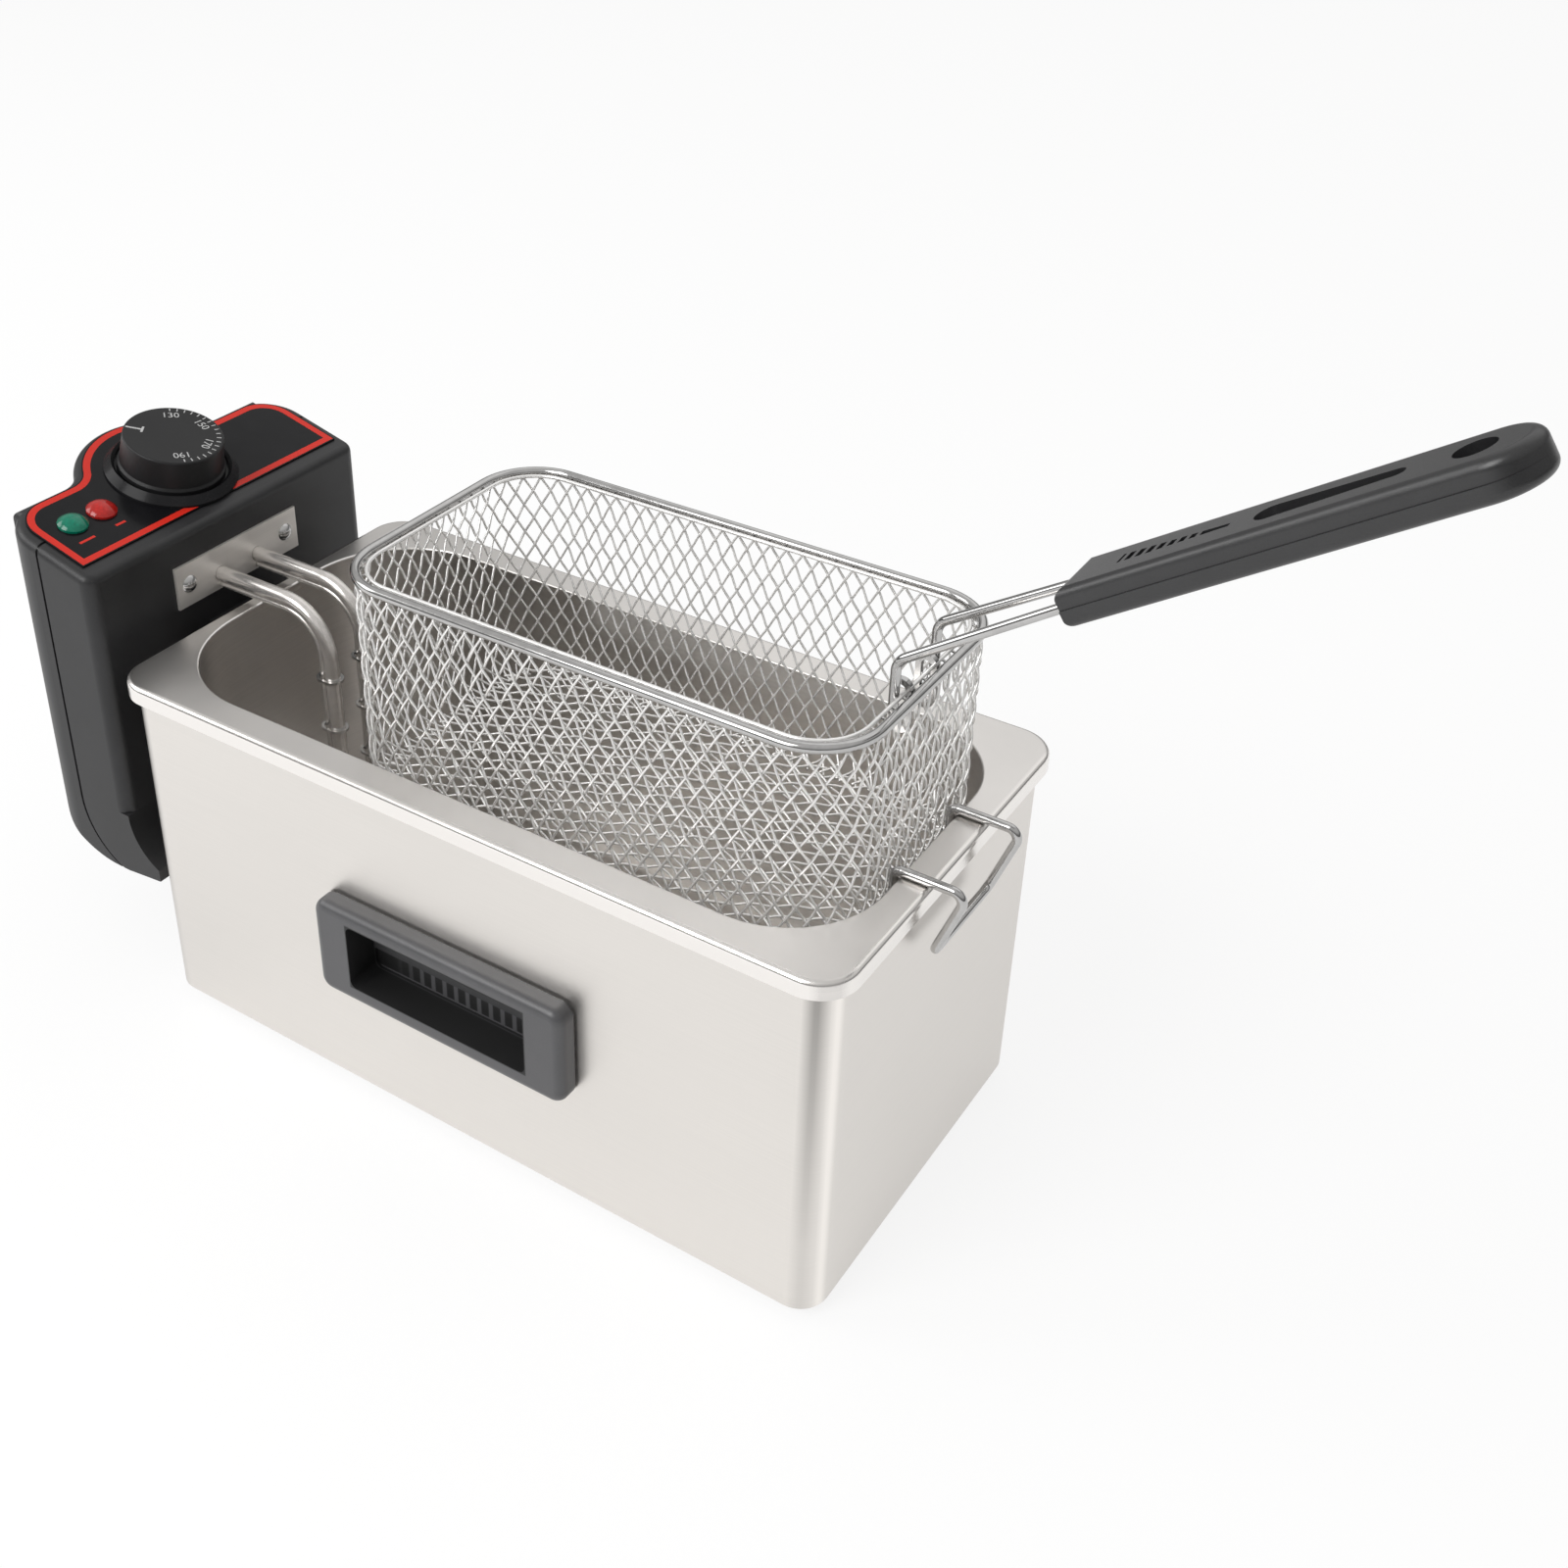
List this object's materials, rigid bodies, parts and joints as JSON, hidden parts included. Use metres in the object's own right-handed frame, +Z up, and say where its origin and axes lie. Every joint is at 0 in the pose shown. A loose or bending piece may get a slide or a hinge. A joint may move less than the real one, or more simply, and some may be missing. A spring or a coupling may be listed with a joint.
{
  "type": "deep fryer",
  "caption": "Table-top deep fryer with a steel housing, lift-out oil pot, lift-off control head carrying the heating element, and a wire basket on a folding handle.",
  "frame": {"origin": "middle of the base plate's underside, 4 mm above the table", "axes": "+X along the length from the control head to the basket handle, +Y to the rear long side, +Z up"},
  "size_m": [0.5821, 0.188, 0.3665],
  "materials": {
    "body_steel": "brushed satin",
    "plain_steel": "plain sheet",
    "pot_steel": "satin drawn",
    "screw_steel": "plated",
    "element_steel": "bright tube",
    "chrome_wire": "chromed",
    "foot_rubber": "matt",
    "gland_rubber": "matt",
    "handle_plastic": "satin",
    "head_plastic": "fine textured",
    "panel_gloss": "gloss with red border",
    "bezel_gloss": "gloss",
    "knob_plastic": "satin",
    "green_lens": "clear lens",
    "red_lens": "clear lens",
    "grip_plastic": "satin",
    "inner_plastic": "moulded",
    "reset_red": "gloss"
  },
  "bodies": {
    "housing": {"outer_housing": "body_steel", "base_plate": "plain_steel", "base_screws": "screw_steel", "feet": "foot_rubber", "side_handle_front": "handle_plastic", "side_handle_rear": "handle_plastic", "side_handle_screws": "screw_steel", "head_rail": "plain_steel"},
    "oil_pot": {"oil_pot": "pot_steel"},
    "control_head": {"head_front_shell": "head_plastic", "head_rear_cover": "head_plastic", "cover_screws": "screw_steel", "panel_plate": "panel_gloss", "knob_bezel": "bezel_gloss", "green_lens": "green_lens", "red_lens": "red_lens", "pilot_lamps": "inner_plastic", "element_plate": "plain_steel", "plate_rivets": "screw_steel", "heating_element": "element_steel", "element_terminals": "screw_steel", "thermostat_probe": "element_steel", "cutout_probe": "element_steel", "probe_clips": "screw_steel", "thermostat_body": "inner_plastic", "thermal_cutout": "inner_plastic", "terminal_block": "inner_plastic", "interlock_switch": "inner_plastic", "cord_gland": "gland_rubber"},
    "thermostat_knob": {"thermostat_knob": "knob_plastic", "thermostat_shaft": "plain_steel"},
    "reset_button": {"reset_button": "reset_red"},
    "basket": {"basket_rim_wire": "chrome_wire", "basket_front_net": "chrome_wire", "basket_rear_net": "chrome_wire", "basket_head_end_net": "chrome_wire", "basket_handle_end_net": "chrome_wire", "basket_corner_nets": "chrome_wire", "basket_floor_net": "chrome_wire", "basket_hook": "chrome_wire", "handle_brackets": "chrome_wire"},
    "basket_handle": {"handle_wire": "chrome_wire", "grip_upper": "grip_plastic", "grip_lower": "grip_plastic", "grip_screws": "screw_steel"}
  },
  "joints": [
    {"name": "pot_lift", "type": "slide", "parent": "housing", "child": "oil_pot", "axis": [0, 0, 1], "range_m": [0, 0.16]},
    {"name": "head_lift", "type": "slide", "parent": "oil_pot", "child": "control_head", "axis": [0, 0, 1], "range_m": [0, 0.16]},
    {"name": "basket_lift", "type": "slide", "parent": "control_head", "child": "basket", "axis": [0, 0, 1], "range_m": [0, 0.12]},
    {"name": "handle_fold", "type": "hinge", "parent": "basket", "child": "basket_handle", "pos_m": [0.1452, 0, 0.218], "axis": [0, -1, 0], "range_deg": [0, 130]},
    {"name": "thermostat_turn", "type": "hinge", "parent": "control_head", "child": "thermostat_knob", "pos_m": [-0.219, 0, 0.20503], "axis": [-0.2419, 0, -0.9703], "range_deg": [0, 270]},
    {"name": "reset_press", "type": "slide", "parent": "control_head", "child": "reset_button", "axis": [1, 0, 0], "range_m": [0, 0.0015], "stiffness_N_per_m": 400}
  ]
}
